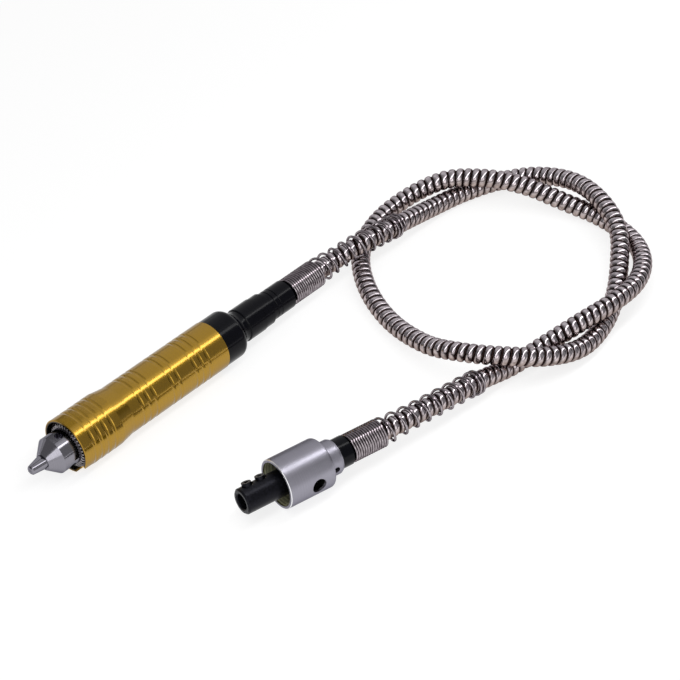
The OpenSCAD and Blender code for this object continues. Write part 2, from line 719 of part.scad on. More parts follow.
end_pitch_r = (end_bearing_r + journal_r) / 2;
end_mid = end_race_at + end_bearing_w / 2;
end_ball_count = 10;
module coupling_outer_race() {
    color("#8C8A90") on_end() race(end_bearing_r - end_race_t, end_bearing_r - press_gap,
        end_race_at, end_bearing_w, end_pitch_r, end_ball_r + 0.06);
}
module coupling_inner_race() {
    color("#8C8A90") on_end() race(journal_r + press_gap, journal_r + end_race_t,
        end_race_at, end_bearing_w, end_pitch_r, end_ball_r + 0.06);
}
module coupling_balls() {
    color("#B9B8BD") on_end() balls(end_pitch_r, end_ball_r, end_mid, end_ball_count);
}
module coupling_cage() {
    color("#C9A24A") on_end() cage(end_pitch_r, end_ball_r, end_mid, end_ball_count);
}

// Drive socket: takes the motor's shaft in front, and turns in the bearing behind
module drive_socket() {
    r = socket_d / 2;
    color("#1C1C1E") on_end() difference() {
        turned([[0, 0], [r - 0.8, 0], [r, 0.8], [r, socket_back - 0.6],
                [r - 0.6, socket_back], [land_r, socket_back], [land_r, end_race_at],
                [journal_r, end_race_at], [journal_r, journal_end - 0.4],
                [journal_r - 0.4, journal_end], [0, journal_end]]);
        bore(motor_shaft_d / 2, -cut, socket_bore_len);
        translate([0, 0, -0.01])
            cylinder(r1 = motor_shaft_d / 2 + 0.6, r2 = motor_shaft_d / 2, h = 0.61, $fn = 64);
        for (at = screw_at) {
            radial_bore(screw_r, at, screw_turn, 0, r + cut);
            radial_bore(screw_r + 0.7, at, screw_turn, r - 0.5, r + cut);
        }
        difference() {
            bore(land_r, end_race_at + end_bearing_w, end_race_at + end_bearing_w + 0.7);
            bore(journal_r - 0.35, end_race_at, journal_end);
        }
    }
}

module socket_screws() {
    color("#141416") on_end() for (at = screw_at)
        grub_screw(screw_r, at, screw_turn, motor_shaft_d / 2 + 0.2, socket_d / 2 + screw_out,
            2);
}

module socket_circlip() {
    color("#5A5A60") on_end() circlip(journal_r - 0.3, land_r,
        end_race_at + end_bearing_w + 0.05, 0.6);
}

grip_sleeve();
front_outer_race();
front_balls();
front_cage();
rear_outer_race();
rear_balls();
rear_cage();
outer_spacer();
rear_cap();
lock_collar();
handle_ferrule();
handle_spring();
sheath();
drive_core();
coupling_spring();
coupling_ferrule();
coupling_housing();
ferrule_screw();
coupling_outer_race();
coupling_balls();
coupling_cage();
spindle();
front_inner_race();
rear_inner_race();
inner_spacer();
spindle_circlip();
core_key();
chuck_body();
chuck_ring();
chuck_nut();
jaw_1();
jaw_2();
jaw_3();
drive_socket();
socket_screws();
coupling_inner_race();
socket_circlip();
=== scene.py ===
"""Rotary tool handpiece on a flexible drive shaft: finishes, wound hose and springs.

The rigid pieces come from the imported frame. This script lays the ribbed hose, its drive core
and the two strain-relief springs along the route, gives every piece its material, and sets
the floor, the lights and the camera. Lengths are in metres unless a name says mm.
"""
import math

import bpy
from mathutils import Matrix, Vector


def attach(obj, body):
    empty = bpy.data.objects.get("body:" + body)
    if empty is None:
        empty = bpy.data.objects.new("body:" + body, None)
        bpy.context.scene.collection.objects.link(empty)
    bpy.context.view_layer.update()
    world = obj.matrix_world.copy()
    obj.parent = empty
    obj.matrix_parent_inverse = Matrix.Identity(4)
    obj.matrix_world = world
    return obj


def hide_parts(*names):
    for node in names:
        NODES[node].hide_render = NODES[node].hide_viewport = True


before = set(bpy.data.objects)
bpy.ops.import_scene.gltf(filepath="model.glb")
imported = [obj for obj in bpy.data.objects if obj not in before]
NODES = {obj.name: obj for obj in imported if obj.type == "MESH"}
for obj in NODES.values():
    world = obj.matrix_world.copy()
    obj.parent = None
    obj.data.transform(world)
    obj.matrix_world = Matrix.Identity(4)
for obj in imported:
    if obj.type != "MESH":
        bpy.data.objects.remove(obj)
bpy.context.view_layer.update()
MM = 0.001


# ---------------------------------------------------------------- small helpers

def linear(hex_colour):
    """A colour written as sRGB hex, as linear red, green, blue and alpha."""
    parts = [int(hex_colour[i:i + 2], 16) / 255 for i in (1, 3, 5)]
    return tuple(c / 12.92 if c <= 0.04045 else ((c + 0.055) / 1.055) ** 2.4
                 for c in parts) + (1.0,)


def set_inputs(tree, node, inputs):
    """Links each input to a socket, or sets it to a value."""
    for name, value in inputs.items():
        if isinstance(value, bpy.types.NodeSocket):
            tree.links.new(value, node.inputs[name])
        else:
            node.inputs[name].default_value = value


def add(tree, kind, inputs=None, **settings):
    """Adds a node, with its settings and with its inputs linked or set."""
    node = tree.nodes.new(kind)
    for name, value in settings.items():
        setattr(node, name, value)
    set_inputs(tree, node, inputs or {})
    return node


def math_out(tree, operation, a, b=0.0, c=0.0):
    """The result of one Math node on numbers or sockets."""
    return add(tree, "ShaderNodeMath", {0: a, 1: b, 2: c}, operation=operation).outputs[0]


def vector_out(tree, operation, a, b=(0, 0, 0), output=0):
    """The result of one Vector Math node on vectors or sockets."""
    return add(tree, "ShaderNodeVectorMath", {0: a, 1: b},
               operation=operation).outputs[output]


def scaled(tree, vector, factor):
    """A vector times a number."""
    return add(tree, "ShaderNodeVectorMath", {0: vector, "Scale": factor},
               operation="SCALE").outputs[0]


def ramp(tree, value, low, high, to_low=0.0, to_high=1.0):
    """A value mapped from one range to another, and held at its ends."""
    return add(tree, "ShaderNodeMapRange", {"Value": value, "From Min": low,
                                            "From Max": high, "To Min": to_low,
                                            "To Max": to_high}).outputs[0]


# ---------------------------------------------------------------- camera

AIM = Vector((0.0524, 0.0173, 0))
DISTANCE = 1.425
AZIMUTH, ELEVATION = math.radians(-47), math.radians(42)
SENSOR_MM, LENS_MM = 36, 150.88


def make_camera():
    """A long lens, looking down along the handpiece from its chuck."""
    back = Vector((math.sin(AZIMUTH) * math.cos(ELEVATION),
                   -math.cos(AZIMUTH) * math.cos(ELEVATION), math.sin(ELEVATION)))
    data = bpy.data.cameras.new("camera")
    data.sensor_width, data.lens = SENSOR_MM, LENS_MM
    camera = bpy.data.objects.new("camera", data)
    camera.location = AIM + DISTANCE * back
    camera.rotation_mode = "QUATERNION"
    camera.rotation_quaternion = (-back).to_track_quat("-Z", "Y")
    bpy.context.collection.objects.link(camera)
    bpy.context.scene.camera = camera


make_camera()


# ---------------------------------------------------------------- route of the shaft

HANDLE_AXIS_AT = Vector((0.0535, 0.050, 0.01435))    # where the hose leaves its ferrule
HANDLE_WAY = Vector((1, 0, 0))
END_TURN = math.radians(-11.3)
END_AXIS_AT = Vector((-0.0065, -0.0485, 0.0127))     # where the hose meets the coupling
END_WAY = Vector((math.cos(END_TURN), math.sin(END_TURN), 0))
ON_HANDLE = (HANDLE_AXIS_AT, HANDLE_WAY)             # the two axes that pieces are turned on
ON_COUPLING = (END_AXIS_AT, END_WAY)
LEAD = 12.5 * MM     # distance between the route's first points, and between its last
LOOP_POINTS_MM = [
    (98, 46, 17.8), (124, 45, 15), (156, 47, 7.3), (177, 45, 5.1), (197, 37, 5.8),
    (211, 22, 9.5), (216, 1, 13.8), (211, -21, 15.6), (201, -40, 13.2),
    (185, -54, 9.6), (167, -66, 6.4), (147, -75, 5.1), (125, -79, 6.6), (104, -75, 12),
    (86, -63, 16.5), (74, -44, 15.4), (71, -23, 10), (76, 6, 5.5), (89, 34, 5.1),
    (109, 54, 5.1), (138, 62.5, 6.6), (168, 53, 14), (184, 37, 15.6), (197, 20, 12.2),
    (206, 0, 7.1), (211, -21, 5.1), (208, -43, 5.9), (195, -61, 9.6), (176, -72, 13.1),
    (154, -75, 15.6), (133, -72, 14.4), (112, -66, 9), (92, -61.5, 5.2),
    (71, -59, 8.2), (43, -56.6, 11.4)]
ROUTE = ([HANDLE_AXIS_AT + i * LEAD * HANDLE_WAY for i in range(3)]
         + [Vector(p) * MM for p in LOOP_POINTS_MM]
         + [END_AXIS_AT + i * LEAD * END_WAY for i in (2, 1, 0)])
SPANS = len(ROUTE) - 1
TAIL = 8 * MM        # how far the springs' guide runs on past each end of the route
STEP = 1 * MM        # distance between the guide's points
REACH = 4            # how many points away the line's bend is measured
CORE_IN_HANDLE = 58.3 * MM      # how far the drive core runs on into the spindle
CORE_IN_COUPLING = 19.8 * MM    # and into the drive socket


def heading(i):
    """The way the route runs at one of its points."""
    return (ROUTE[min(i + 1, SPANS)] - ROUTE[max(i - 1, 0)]).normalized()


def route_points():
    """The smooth curve through the route's points, in steps of about STEP."""
    points = []
    for i in range(SPANS):
        a, b = ROUTE[i], ROUTE[i + 1]
        span = (b - a).length
        steps = max(2, round(span / STEP))
        for k in range(steps):
            t = k / steps
            points.append((2 * t**3 - 3 * t**2 + 1) * a + (3 * t**2 - 2 * t**3) * b
                          + span * ((t**3 - 2 * t**2 + t) * heading(i)
                                    + (t**3 - t**2) * heading(i + 1)))
    return points + [ROUTE[-1]]


def length_of(points):
    """The length of an open line through these points."""
    return sum((b - a).length for a, b in zip(points, points[1:]))


HOSE_LINE = route_points()
GUIDE_LINE = ([HOSE_LINE[0] - TAIL * heading(0)] + HOSE_LINE
              + [HOSE_LINE[-1] + TAIL * heading(SPANS)])
CORE_LINE = ([HOSE_LINE[0] - CORE_IN_HANDLE * heading(0)] + HOSE_LINE
             + [HOSE_LINE[-1] + CORE_IN_COUPLING * heading(SPANS)])


def line_object(name, points):
    """A mesh of one open line of edges, with the way it bends at each point, per metre."""
    mesh = bpy.data.meshes.new(name)
    mesh.from_pydata(points, [(i, i + 1) for i in range(len(points) - 1)], [])
    bend = mesh.attributes.new("bend", "FLOAT_VECTOR", "POINT")
    for i in range(REACH, len(points) - REACH):
        before, after = points[i] - points[i - REACH], points[i + REACH] - points[i]
        turn = (after.normalized() - before.normalized()) / (before.length + after.length)
        bend.data[i].vector = 2 * turn
    made = bpy.data.objects.new(name, mesh)
    bpy.context.collection.objects.link(made)
    return made


# ---------------------------------------------------------------- geometry trees

def geometry_tree(name, sizes):
    """A new geometry tree with named inputs, its input node, and its sockets by name."""
    tree = bpy.data.node_groups.new(name, "GeometryNodeTree")
    face = tree.interface
    face.new_socket("Geometry", in_out="OUTPUT", socket_type="NodeSocketGeometry")
    face.new_socket("Line", in_out="INPUT", socket_type="NodeSocketGeometry")
    sockets = {}
    for size, value in sizes.items():
        kind = "NodeSocketInt" if isinstance(value, int) else "NodeSocketFloat"
        sockets[size] = face.new_socket(size, in_out="INPUT", socket_type=kind)
        sockets[size].default_value = value
    return tree, add(tree, "NodeGroupInput"), sockets


def end_tree(tree, geometry, material):
    """Ends a tree in smooth shading, one material and real geometry."""
    smooth = add(tree, "GeometryNodeSetShadeSmooth", {"Geometry": geometry})
    real = add(tree, "GeometryNodeRealizeInstances", {0: smooth.outputs[0]})
    dressed = add(tree, "GeometryNodeSetMaterial", {"Geometry": real.outputs[0],
                                                    "Material": material})
    add(tree, "NodeGroupOutput", {0: dressed.outputs[0]})


def grow(name, points, tree, sockets, sizes, material):
    """The plain mesh piece that a tree makes of a line, with the given sizes."""
    host = line_object(name + "_line", points)
    modifier = host.modifiers.new(name, "NODES")
    modifier.node_group = tree
    for size, value in sizes.items():
        modifier[sockets[size].identifier] = value
    graph = bpy.context.evaluated_depsgraph_get()
    graph.update()
    mesh = bpy.data.meshes.new_from_object(host.evaluated_get(graph))
    mesh.name = name
    piece = bpy.data.objects.new(name, mesh)
    bpy.context.collection.objects.link(piece)
    host.modifiers.remove(modifier)
    bpy.data.objects.remove(host)
    piece.data.materials.clear()
    piece.data.materials.append(material)
    return piece


def named(tree, geometry, name, value, kind="FLOAT"):
    """Stores a point attribute that the rest of the tree and the material read."""
    return add(tree, "GeometryNodeStoreNamedAttribute",
               {"Geometry": geometry, "Name": name, "Value": value},
               data_type=kind, domain="POINT").outputs[0]


def read(tree, name, kind="FLOAT"):
    """A point attribute that was stored under this name."""
    return add(tree, "GeometryNodeInputNamedAttribute", {"Name": name},
               data_type=kind).outputs[0]


def ridge(tree, phase, share, fullness):
    """The height, 0 to 1, of a round-shouldered ridge across a share of the pitch."""
    half = math_out(tree, "MULTIPLY", share, 0.5)
    x = math_out(tree, "DIVIDE", math_out(tree, "SUBTRACT", phase, half), half)
    x = math_out(tree, "POWER", math_out(tree, "ABSOLUTE", x), fullness)
    left = math_out(tree, "MAXIMUM", math_out(tree, "SUBTRACT", 1.0, x), 0.0)
    return math_out(tree, "POWER", left, math_out(tree, "DIVIDE", 1.0, fullness))


HOSE_SIZES = {"Rings": 4700, "Sides": 20, "Starts": 1.0, "Pitch": 4.15 * MM,
              "Core radius": 3.95 * MM, "Rib height": 1.03 * MM, "Rib share": 0.87,
              "Fullness": 2.0}


def hose_tree(material):
    """A tube with a wide round-shouldered wire wound round it, its turns apart on a bend."""
    tree, sizes, sockets = geometry_tree("wound hose", HOSE_SIZES)
    size = sizes.outputs
    curve = add(tree, "GeometryNodeMeshToCurve", {"Mesh": size["Line"]}).outputs[0]
    curve = add(tree, "GeometryNodeResampleCurve", {"Curve": curve,
                                                    "Count": size["Rings"]}).outputs[0]
    place = add(tree, "GeometryNodeInputPosition").outputs[0]
    spline = add(tree, "GeometryNodeSplineParameter").outputs
    curve = named(tree, curve, "centre", place, "FLOAT_VECTOR")
    curve = named(tree, curve, "along", spline["Length"])
    ring = add(tree, "GeometryNodeCurvePrimitiveCircle",
               {"Resolution": size["Sides"], "Radius": size["Core radius"]}).outputs[0]
    ring = named(tree, ring, "around", spline["Factor"])
    tube = add(tree, "GeometryNodeCurveToMesh", {"Curve": curve, "Profile Curve": ring,
                                                 "Fill Caps": True}).outputs[0]
    turns = math_out(tree, "DIVIDE", read(tree, "along"), size["Pitch"])
    start = math_out(tree, "MULTIPLY", read(tree, "around"), size["Starts"])
    phase = math_out(tree, "FRACT", math_out(tree, "ADD", turns, start))
    out = vector_out(tree, "NORMALIZE", vector_out(tree, "SUBTRACT", place,
                                                   read(tree, "centre", "FLOAT_VECTOR")))
    inward = vector_out(tree, "DOT_PRODUCT", read(tree, "bend", "FLOAT_VECTOR"), out, 1)
    stretch = math_out(tree, "SUBTRACT", 1.0, math_out(tree, "MULTIPLY", inward,
                                                       size["Core radius"]))
    share = math_out(tree, "DIVIDE", size["Rib share"], stretch)
    rib = ridge(tree, phase, share, size["Fullness"])
    tube = named(tree, tube, "rise", rib)
    rise = math_out(tree, "MULTIPLY", rib, size["Rib height"])
    tube = add(tree, "GeometryNodeSetPosition",
               {"Geometry": tube, "Offset": scaled(tree, out, rise)}).outputs[0]
    end_tree(tree, tube, material)
    return tree, sockets


SPRING_SIZES = {"Start": 0.0, "Way": 1.0, "Tight turns": 13, "Open turns": 9,
                "Close turns": 2, "Tight pitch": 1.35 * MM, "Open pitch": 5.9 * MM,
                "Close pitch": 2.4 * MM, "Coil radius": 6.75 * MM, "End radius": 5.8 * MM,
                "Wire radius": 0.64 * MM, "Lift": 0.2 * MM, "Steps": 40, "Sides": 10,
                "Unevenness": 0.3 * MM, "Seed": 3}
DRAWN_IN = 0.25      # the share of its loose turns over which a spring narrows to its end


def spring_tree(material):
    """One wire wound right-handed round a line: tight turns, open turns, close turns."""
    tree, sizes, sockets = geometry_tree("wound spring", SPRING_SIZES)
    size = sizes.outputs
    guide = add(tree, "GeometryNodeMeshToCurve", {"Mesh": size["Line"]}).outputs[0]
    turns = math_out(tree, "ADD", math_out(tree, "ADD", size["Tight turns"],
                                           size["Open turns"]), size["Close turns"])
    count = math_out(tree, "MULTIPLY_ADD", turns, size["Steps"], 1.0)
    wire = add(tree, "GeometryNodeCurvePrimitiveLine").outputs[0]
    wire = add(tree, "GeometryNodeResampleCurve", {"Curve": wire, "Count": count}).outputs[0]
    turn = math_out(tree, "DIVIDE", add(tree, "GeometryNodeInputIndex").outputs[0],
                    size["Steps"])
    tight = math_out(tree, "MINIMUM", turn, size["Tight turns"])
    rest = math_out(tree, "SUBTRACT", turn, tight)
    opened = math_out(tree, "MINIMUM", rest, size["Open turns"])
    close = math_out(tree, "SUBTRACT", rest, opened)
    station = math_out(tree, "MULTIPLY", tight, size["Tight pitch"])
    station = math_out(tree, "MULTIPLY_ADD", opened, size["Open pitch"], station)
    station = math_out(tree, "MULTIPLY_ADD", close, size["Close pitch"], station)
    station = math_out(tree, "MULTIPLY_ADD", station, size["Way"], size["Start"])
    wander = add(tree, "ShaderNodeTexNoise", {"W": math_out(tree, "ADD", turn, size["Seed"]),
                                              "Scale": 0.8, "Detail": 1.0},
                 noise_dimensions="1D").outputs[0]
    wander = math_out(tree, "MULTIPLY", math_out(tree, "SUBTRACT", wander, 0.5),
                      size["Unevenness"])
    freed = math_out(tree, "MINIMUM", rest, 1.0)
    loose = math_out(tree, "DIVIDE", rest, math_out(tree, "ADD", size["Open turns"],
                                                    size["Close turns"]))
    radius = ramp(tree, loose, 0.0, DRAWN_IN, size["Coil radius"], size["End radius"])
    radius = math_out(tree, "MULTIPLY_ADD", wander, freed, radius)
    at = add(tree, "GeometryNodeSampleCurve", {"Curves": guide, "Length": station},
             mode="LENGTH", use_all_curves=True).outputs
    angle = math_out(tree, "MULTIPLY", math_out(tree, "MULTIPLY", turn, size["Way"]),
                     2 * math.pi)
    side = vector_out(tree, "CROSS_PRODUCT", at["Tangent"], at["Normal"])
    arm = vector_out(tree, "ADD",
                     scaled(tree, at["Normal"], math_out(tree, "COSINE", angle)),
                     scaled(tree, side, math_out(tree, "SINE", angle)))
    arm = scaled(tree, arm, radius)
    lift = add(tree, "ShaderNodeCombineXYZ", {"Z": math_out(tree, "MULTIPLY", freed,
                                                            size["Lift"])}).outputs[0]
    place = vector_out(tree, "ADD", vector_out(tree, "ADD", at["Position"], lift), arm)
    wire = add(tree, "GeometryNodeSetPosition", {"Geometry": wire,
                                                 "Position": place}).outputs[0]
    ring = add(tree, "GeometryNodeCurvePrimitiveCircle",
               {"Resolution": size["Sides"], "Radius": size["Wire radius"]}).outputs[0]
    tube = add(tree, "GeometryNodeCurveToMesh", {"Curve": wire, "Profile Curve": ring,
                                                 "Fill Caps": True}).outputs[0]
    end_tree(tree, tube, material)
    return tree, sockets


# ---------------------------------------------------------------- material helpers

def bare_material(name):
    """A new material with an empty tree."""
    made = bpy.data.materials.new(name)
    made.use_nodes = True
    made.node_tree.nodes.clear()
    return made, made.node_tree


def new_material(name):
    """A new material with its tree and its shader."""
    made, tree = bare_material(name)
    shader = add(tree, "ShaderNodeBsdfPrincipled")
    add(tree, "ShaderNodeOutputMaterial", {"Surface": shader.outputs[0]})
    return made, tree, shader


def mix_colour(tree, share, a, b):
    """A blend of two colours, each a hex value or a socket."""
    a = linear(a) if isinstance(a, str) else a
    b = linear(b) if isinstance(b, str) else b
    return add(tree, "ShaderNodeMix", {0: share, 6: a, 7: b}, data_type="RGBA").outputs[2]


def noise(tree, scale, detail):
    """Noise on the object's own coordinates, with its scale in cells per metre."""
    place = add(tree, "ShaderNodeTexCoord").outputs["Object"]
    return add(tree, "ShaderNodeTexNoise", {"Vector": place, "Scale": scale,
                                            "Detail": detail}).outputs[0]


def bump(tree, height, depth_mm):
    """The normal of a surface whose pattern stands this high."""
    return add(tree, "ShaderNodeBump", {"Height": height, "Distance": depth_mm * MM,
                                        "Strength": 1.0}).outputs[0]


def opened(made):
    """The tree and the shader of a finished material, for more to be laid on."""
    return made.node_tree, made.node_tree.nodes["Principled BSDF"]


def on_lathe(tree, axis):
    """Distance along a turning axis, distance from it, and the way round it, in metres."""
    at, way = axis
    place = add(tree, "ShaderNodeTexCoord").outputs["Object"]
    arm = vector_out(tree, "SUBTRACT", place, tuple(at))
    along = vector_out(tree, "DOT_PRODUCT", arm, tuple(way), output=1)
    around = vector_out(tree, "CROSS_PRODUCT", tuple(way), arm)
    away = vector_out(tree, "LENGTH", around, output=1)
    tangent = add(tree, "ShaderNodeVectorTransform", {0: around}, vector_type="VECTOR",
                  convert_from="OBJECT", convert_to="WORLD").outputs[0]
    return along, away, vector_out(tree, "NORMALIZE", tangent)


FACE_FEED = 0.7      # rings on a face, for each ring on the same length of wall


def tool_marks(tree, along, away, pitch_mm, detail=2.0):
    """Fine lines that a lathe leaves, 0 to 1: rings along a wall, and rings on a face."""
    run = math_out(tree, "MULTIPLY_ADD", away, FACE_FEED, along)
    return add(tree, "ShaderNodeTexNoise", {"W": run, "Scale": 1 / (pitch_mm * MM),
                                            "Detail": detail, "Roughness": 0.6},
               noise_dimensions="1D").outputs[0]


# ---------------------------------------------------------------- materials

QUARTER = 0.25       # a turn of the tangent, from round the axis to along it


def gold_anodised():
    """Turned aluminium, dyed gold and sealed: a tinted metal under a thin gloss.

    Its feed lines spread each highlight along the axis and leave it narrow round the sleeve.
    """
    made, tree, shader = new_material("gold anodised aluminium")
    along, away, around = on_lathe(tree, ON_HANDLE)
    # 0.35 mm feed lines, drawn about twice as coarse as real ones so that they show
    marks = tool_marks(tree, along, away, 0.35)
    cloud = noise(tree, 60, 3)
    tint = mix_colour(tree, ramp(tree, marks, 0.3, 0.7), "#A07B19", "#AD861E")
    tint = mix_colour(tree, ramp(tree, cloud, 0.35, 0.75, 0, 0.35), tint, "#9C7727")
    # painted shade: the bore inside the sleeve is darkened, where shade falls
    bore = math_out(tree, "MULTIPLY", ramp(tree, away, 13.5 * MM, 13.9 * MM, 1, 0),
                    ramp(tree, along, -137 * MM, -136 * MM, 1, 0))
    tint = mix_colour(tree, bore, tint, "#33291C")
    set_inputs(tree, shader, {
        "Base Color": tint, "Metallic": 1.0, "Specular Tint": linear("#B3B0AE"),
        "Anisotropic": 0.5, "Anisotropic Rotation": QUARTER, "Tangent": around,
        "Coat Weight": 0.6, "Coat Roughness": 0.12,
        "Roughness": ramp(tree, cloud, 0.3, 0.7, 0.21, 0.25),
        "Normal": bump(tree, marks, 0.002)})
    return made


def black_moulded():
    """Glass-filled nylon, moulded: a faint orange peel and a soft sheen."""
    made, tree, shader = new_material("black moulded nylon")
    # 0.6 mm orange peel over 0.15 mm grain
    peel = noise(tree, 1 / (0.6 * MM), 2)
    grain = noise(tree, 1 / (0.15 * MM), 1)
    height = math_out(tree, "MULTIPLY_ADD", grain, 0.3, peel)
    set_inputs(tree, shader, {
        "Base Color": mix_colour(tree, ramp(tree, peel, 0.3, 0.7), "#06060B", "#0B0B12"),
        "Roughness": ramp(tree, grain, 0.3, 0.7, 0.13, 0.2), "Specular IOR Level": 0.11,
        "Normal": bump(tree, height, 0.003)})
    return made


def turned_metal(name, low, high, axis, pitch_mm, roughness, anisotropic, depth_mm=0.004):
    """Bare turned metal: rings of tool marks that spread a highlight along the axis."""
    made, tree, shader = new_material(name)
    along, away, around = on_lathe(tree, axis)
    marks = tool_marks(tree, along, away, pitch_mm, 3.0)
    cloud = noise(tree, 90, 4)
    tint = mix_colour(tree, ramp(tree, marks, 0.25, 0.75), low, high)
    set_inputs(tree, shader, {
        "Base Color": tint, "Metallic": 1.0, "Specular Tint": linear("#B0B0B4"),
        "Anisotropic": anisotropic, "Anisotropic Rotation": QUARTER, "Tangent": around,
        "Roughness": ramp(tree, cloud, 0.3, 0.7, roughness - 0.04, roughness + 0.05),
        "Normal": bump(tree, marks, depth_mm)})
    return made


def housing_aluminium():
    """Turned housing: a painted highlight on its chamfered rim, and a painted olive reflection
    in its bore that painted shade darkens further in.
    """
    made = turned_metal("turned aluminium", "#8F8D97", "#A09EA9", ON_COUPLING, 0.25, 0.4, 0.5)
    tree, shader = opened(made)
    along, away, _ = on_lathe(tree, ON_COUPLING)
    # the bore is the wall inside 11.4 mm, from the rim's chamfer to the cup's end
    inside = math_out(tree, "MULTIPLY", ramp(tree, away, 11.35 * MM, 11.4 * MM, 1, 0),
                      ramp(tree, along, -46.3 * MM, -46.2 * MM))
    inside = math_out(tree, "MULTIPLY", inside, ramp(tree, along, -25.7 * MM, -25.6 * MM, 1, 0))
    # painted reflection in the bore: olive, in 2.5 mm bands that the boring tool left, with
    # painted shade that darkens it further in
    bands = tool_marks(tree, along, away, 2.5, 1.0)
    bore_light_and_shade = mix_colour(tree, ramp(tree, bands, 0.4, 0.6), "#84845C", "#EEEECC")
    bore_light_and_shade = mix_colour(tree, ramp(tree, along, -43 * MM, -35 * MM), bore_light_and_shade, "#25251F")
    # painted highlight: the chamfered rim is near white
    rim = math_out(tree, "MULTIPLY", ramp(tree, along, -46.1 * MM, -46.0 * MM, 1, 0),
                   ramp(tree, away, 12.3 * MM, 12.4 * MM))
    old = shader.inputs["Base Color"].links[0].from_socket
    tint = mix_colour(tree, rim, mix_colour(tree, inside, old, bore_light_and_shade), "#F4F4F6")
    tree.links.new(tint, shader.inputs["Base Color"])
    tree.links.new(ramp(tree, inside, 0, 1, 1.0, 0.35), shader.inputs["Metallic"])
    return made


def toothed_ring_steel():
    """The key's ring: bright worn teeth, with painted shade in the gaps between them."""
    made = turned_metal("ring steel", "#757173", "#A09C9E", ON_HANDLE, 0.4, 0.3, 0.0, 0.02)
    tree, shader = opened(made)
    along, away, _ = on_lathe(tree, ON_HANDLE)
    # how far a point lies under the teeth's bevel, and behind the ring's front face
    under = math_out(tree, "SUBTRACT", math_out(tree, "ADD", along, 166.4 * MM), away)
    behind = math_out(tree, "ADD", along, 155.6 * MM)
    # painted shade: the gaps between the teeth are near black
    gap = ramp(tree, math_out(tree, "MINIMUM", under, behind), 0.05 * MM, 0.4 * MM)
    old = shader.inputs["Base Color"].links[0].from_socket
    tree.links.new(mix_colour(tree, gap, old, "#1C1918"), shader.inputs["Base Color"])
    return made


def plated_wire(name, on_hose):
    """Drawn steel wire, nickel plated: bright crests, and painted shade in the valleys."""
    made, tree, shader = new_material(name)
    # the plate is patchy, over about 2 mm
    patch = noise(tree, 1 / (2 * MM), 3)
    patchy = ramp(tree, patch, 0.35, 0.7)
    normal = add(tree, "ShaderNodeTexCoord").outputs["Normal"]
    up = vector_out(tree, "DOT_PRODUCT", normal, (0, 0, 1), output=1)
    if on_hose:
        # darker and browner on the side that faces down, and painted shade that darkens the
        # valleys between the turns
        base_tint = mix_colour(tree, patchy, "#C6BEC3", "#978F94")
        downward_tint = mix_colour(tree, patchy, "#B6A7A2", "#877973")
        tint = mix_colour(tree, ramp(tree, up, -0.1, 0.7), downward_tint, base_tint)
        rise = add(tree, "ShaderNodeAttribute", attribute_name="rise").outputs["Fac"]
        # painted shade: near black where the wire dips between its turns
        tint = mix_colour(tree, ramp(tree, rise, 0.3, 0.9), "#241917", tint)
        edge = "#B0A8AA"
    else:
        # painted shade: the wire is darker on its top
        base_tint = mix_colour(tree, patchy, "#AAA2A6", "#7B7377")
        shaded_top = mix_colour(tree, patchy, "#8A8288", "#6A6268")
        tint = mix_colour(tree, ramp(tree, up, 0.6, 1.0), base_tint, shaded_top)
        # painted shade: the dark edge tint darkens the wire towards its outline
        edge = "#3E3A3C"
    set_inputs(tree, shader, {"Base Color": tint, "Metallic": 1.0,
                              "Specular Tint": linear(edge),
                              "Roughness": ramp(tree, patch, 0.3, 0.7, 0.07, 0.13),
                              "Normal": bump(tree, patch, 0.01)})
    return made


def black_oxide():
    """Steel blackened in hot salts: near black, satin, and worn bare a little."""
    made, tree, shader = new_material("black oxide steel")
    # 1.2 mm blotches of the bath, and 0.2 mm grain
    blotch = noise(tree, 1 / (1.2 * MM), 4)
    grain = noise(tree, 1 / (0.2 * MM), 2)
    tint = mix_colour(tree, ramp(tree, blotch, 0.35, 0.75), "#0B0B12", "#15151F")
    set_inputs(tree, shader, {"Base Color": tint, "Metallic": 0.75,
                              "Roughness": ramp(tree, blotch, 0.3, 0.7, 0.32, 0.45),
                              "Specular IOR Level": 0.5, "Normal": bump(tree, grain, 0.006)})
    return made


def twisted_wire():
    """The drive core's outer layer of wires, wound against its turning."""
    made, tree, shader = new_material("twisted drive wire")
    # 1.5 mm patches of grease and bare wire
    patch = noise(tree, 1 / (1.5 * MM), 3)
    set_inputs(tree, shader, {
        "Base Color": mix_colour(tree, ramp(tree, patch, 0.3, 0.7), "#6C6A70", "#8E8C92"),
        "Metallic": 1.0, "Roughness": ramp(tree, patch, 0.3, 0.7, 0.28, 0.38),
        "Normal": bump(tree, patch, 0.01)})
    return made


def dress(made, *names):
    """Gives CAD nodes a material in place of their plain one."""
    for name in names:
        NODES[name].data.materials.clear()
        NODES[name].data.materials.append(made)


GOLD = gold_anodised()
BLACK = black_moulded()
OXIDE = black_oxide()
HOSE_WIRE = plated_wire("plated hose wire", True)
SPRING_WIRE = plated_wire("plated spring wire", False)
TWISTED = twisted_wire()
HOUSING = housing_aluminium()
CHUCK = turned_metal("ground chuck steel", "#807E86", "#94929A", ON_HANDLE, 0.2, 0.13, 0.3)
RING = toothed_ring_steel()
SPINDLE = turned_metal("ground spindle steel", "#9C9BA0", "#B5B4B9", ON_HANDLE,
                       0.15, 0.18, 0.3)
BEARING = turned_metal("ground bearing steel", "#A5A4A9", "#BDBCC1", ON_COUPLING,
                       0.15, 0.14, 0.2)
BRASS = turned_metal("pressed brass", "#B9923C", "#CFA94E", ON_HANDLE, 0.3, 0.25, 0.2)
SPACER = turned_metal("spacer aluminium", "#B4B3B9", "#CBCAD0", ON_HANDLE, 0.3, 0.28, 0.3)
BLUED = turned_metal("blued spring steel", "#4A4C55", "#5F616B", ON_HANDLE, 0.3, 0.3, 0.1)

